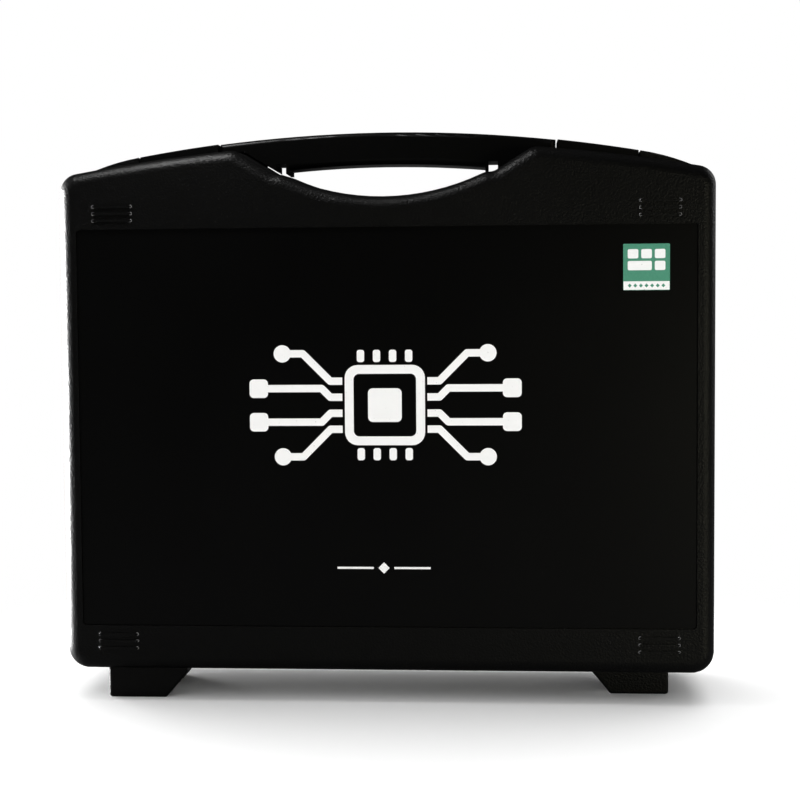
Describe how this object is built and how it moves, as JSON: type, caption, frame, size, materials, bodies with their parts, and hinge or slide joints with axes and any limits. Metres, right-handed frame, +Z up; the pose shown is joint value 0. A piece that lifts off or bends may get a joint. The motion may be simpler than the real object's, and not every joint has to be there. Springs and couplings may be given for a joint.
{
  "type": "internet of things trainer kit",
  "caption": "Upright black moulded carrying case with an arched carry handle, snap latches and a hinged lid over a deck of electronics training modules.",
  "frame": {"origin": "on the floor, under the middle of the closed case standing on its feet", "axes": "+Z up to the carry handle, -Y out of the printed front of the lid, +X to the viewer's right"},
  "size_m": [0.4124, 0.0976, 0.36],
  "materials": {
    "case_plastic": "fine moulded grain, satin black",
    "handle_plastic": "satin black moulding",
    "latch_plastic": "satin black moulding",
    "pin_steel": "bright zinc plated",
    "panel_print": "smooth satin black sheet with a white print",
    "sticker_print": "glossy green and white print",
    "foam": "open cell foam, dark grey",
    "deck_laminate": "dark blue laminate with white block outlines",
    "supply_case": "black moulding",
    "stud_brass": "bright brass",
    "board_green": "green solder mask",
    "board_blue": "blue solder mask",
    "board_black": "black solder mask",
    "frame_metal": "black bent sheet",
    "display_glass": "tinted display glass",
    "tin_metal": "bright drawn can",
    "lens_plastic": "milky lens",
    "sensor_metal": "steel mesh cap",
    "sensor_blue": "light blue moulding",
    "light_cell": "clear lacquer over a cell",
    "lamp_plastic": "tinted lens",
    "segment_black": "black face, grey segments",
    "relay_blue": "blue moulding",
    "terminal_green": "green moulding",
    "part_black": "black moulding",
    "bread_white": "white moulding",
    "toggle_metal": "nickel plated",
    "knob_black": "black moulding, white pointer",
    "rocker_red": "red moulding",
    "servo_blue": "clear blue moulding",
    "horn_white": "white nylon",
    "motor_metal": "plated can",
    "fan_white": "orange moulding",
    "key_black": "black moulding",
    "cap_red": "red moulding",
    "cap_yellow": "yellow moulding",
    "cap_green": "green moulding",
    "cap_blue": "blue moulding"
  },
  "bodies": {
    "base": {"rear_shell": "case_plastic", "carry_handle": "handle_plastic", "handle_screws": "pin_steel", "latch_pins": "pin_steel", "hinge_pin_right": "pin_steel", "deck_panel": "deck_laminate", "case_screws": "pin_steel", "power_supply": "supply_case", "board_studs": "stud_brass", "display_board": "board_green", "ultrasonic_board": "board_blue", "motion_board": "board_blue", "humidity_board": "board_blue", "gas_board": "board_green", "light_board": "board_blue", "led_board": "board_green", "relay_board": "board_blue", "display_frame": "frame_metal", "display_glass": "display_glass", "ultrasonic_cans": "tin_metal", "motion_dome": "lens_plastic", "gas_sensor": "sensor_metal", "humidity_sensor": "sensor_blue", "light_sensor": "light_cell", "indicator_leds": "lamp_plastic", "segment_display": "segment_black", "relays": "relay_blue", "relay_terminals": "terminal_green", "buzzer": "part_black", "breadboard": "bread_white", "controller_board": "board_black", "controller_can": "tin_metal", "header_sockets": "part_black", "usb_socket": "tin_metal", "button_bases": "part_black", "toggle_bodies": "toggle_metal", "potentiometer": "toggle_metal", "power_switch": "part_black", "power_socket": "part_black", "servo": "servo_blue", "fan_motor": "motor_metal"},
    "lid": {"front_shell": "case_plastic", "hinge_pin_left": "pin_steel", "front_label": "panel_print", "corner_sticker": "sticker_print", "lid_foam": "foam"},
    "left_latch": {"latch_left": "latch_plastic"},
    "right_latch": {"latch_right": "latch_plastic"},
    "button_1": {"button_cap_1": "cap_red"},
    "button_2": {"button_cap_2": "cap_yellow"},
    "button_3": {"button_cap_3": "cap_green"},
    "button_4": {"button_cap_4": "cap_blue"},
    "toggle_1": {"toggle_lever_1": "toggle_metal"},
    "toggle_2": {"toggle_lever_2": "toggle_metal"},
    "knob": {"control_knob": "knob_black"},
    "rocker": {"power_rocker": "rocker_red"},
    "servo_arm": {"servo_horn": "horn_white"},
    "fan": {"fan_blades": "fan_white"},
    "reset_plunger": {"reset_key": "key_black"},
    "boot_plunger": {"boot_key": "key_black"}
  },
  "joints": [
    {"name": "lid_hinge", "type": "hinge", "parent": "base", "child": "lid", "pos_m": [0, 0, 0.0082], "axis": [1, 0, 0], "range_deg": [0, 180]},
    {"name": "left_latch_flap", "type": "hinge", "parent": "base", "child": "left_latch", "pos_m": [-0.13475, 0.0086, 0.34704], "axis": [-0.9925, 0, -0.1222], "range_deg": [0, 75]},
    {"name": "right_latch_flap", "type": "hinge", "parent": "base", "child": "right_latch", "pos_m": [0.13475, 0.0086, 0.34704], "axis": [-0.9925, 0, 0.1222], "range_deg": [0, 75]},
    {"name": "button_1_press", "type": "slide", "parent": "base", "child": "button_1", "axis": [0, 1, 0], "range_m": [0, 0.001], "stiffness_N_per_m": 300},
    {"name": "button_2_press", "type": "slide", "parent": "base", "child": "button_2", "axis": [0, 1, 0], "range_m": [0, 0.001], "stiffness_N_per_m": 300},
    {"name": "button_3_press", "type": "slide", "parent": "base", "child": "button_3", "axis": [0, 1, 0], "range_m": [0, 0.001], "stiffness_N_per_m": 300},
    {"name": "button_4_press", "type": "slide", "parent": "base", "child": "button_4", "axis": [0, 1, 0], "range_m": [0, 0.001], "stiffness_N_per_m": 300},
    {"name": "toggle_1_flip", "type": "hinge", "parent": "base", "child": "toggle_1", "pos_m": [-0.172, 0.002, 0.072], "axis": [1, 0, 0], "range_deg": [0, 24]},
    {"name": "toggle_2_flip", "type": "hinge", "parent": "base", "child": "toggle_2", "pos_m": [-0.148, 0.002, 0.072], "axis": [1, 0, 0], "range_deg": [0, 24]},
    {"name": "knob_turn", "type": "hinge", "parent": "base", "child": "knob", "pos_m": [-0.108, 0, 0.072], "axis": [0, 1, 0], "range_deg": [-150, 150]},
    {"name": "rocker_tilt", "type": "hinge", "parent": "base", "child": "rocker", "pos_m": [0.172, 0.009, 0.132], "axis": [-1, 0, 0], "range_deg": [0, 16]},
    {"name": "servo_turn", "type": "hinge", "parent": "base", "child": "servo_arm", "pos_m": [-0.0227, 0, 0.084], "axis": [0, 1, 0], "range_deg": [-90, 90]},
    {"name": "fan_spin", "type": "hinge", "parent": "base", "child": "fan", "pos_m": [0.112, 0, 0.178], "axis": [0, 1, 0], "continuous": true},
    {"name": "reset_press", "type": "slide", "parent": "base", "child": "reset_plunger", "axis": [0, 1, 0], "range_m": [0, 0.0003], "stiffness_N_per_m": 300},
    {"name": "boot_press", "type": "slide", "parent": "base", "child": "boot_plunger", "axis": [0, 1, 0], "range_m": [0, 0.0003], "stiffness_N_per_m": 300}
  ]
}
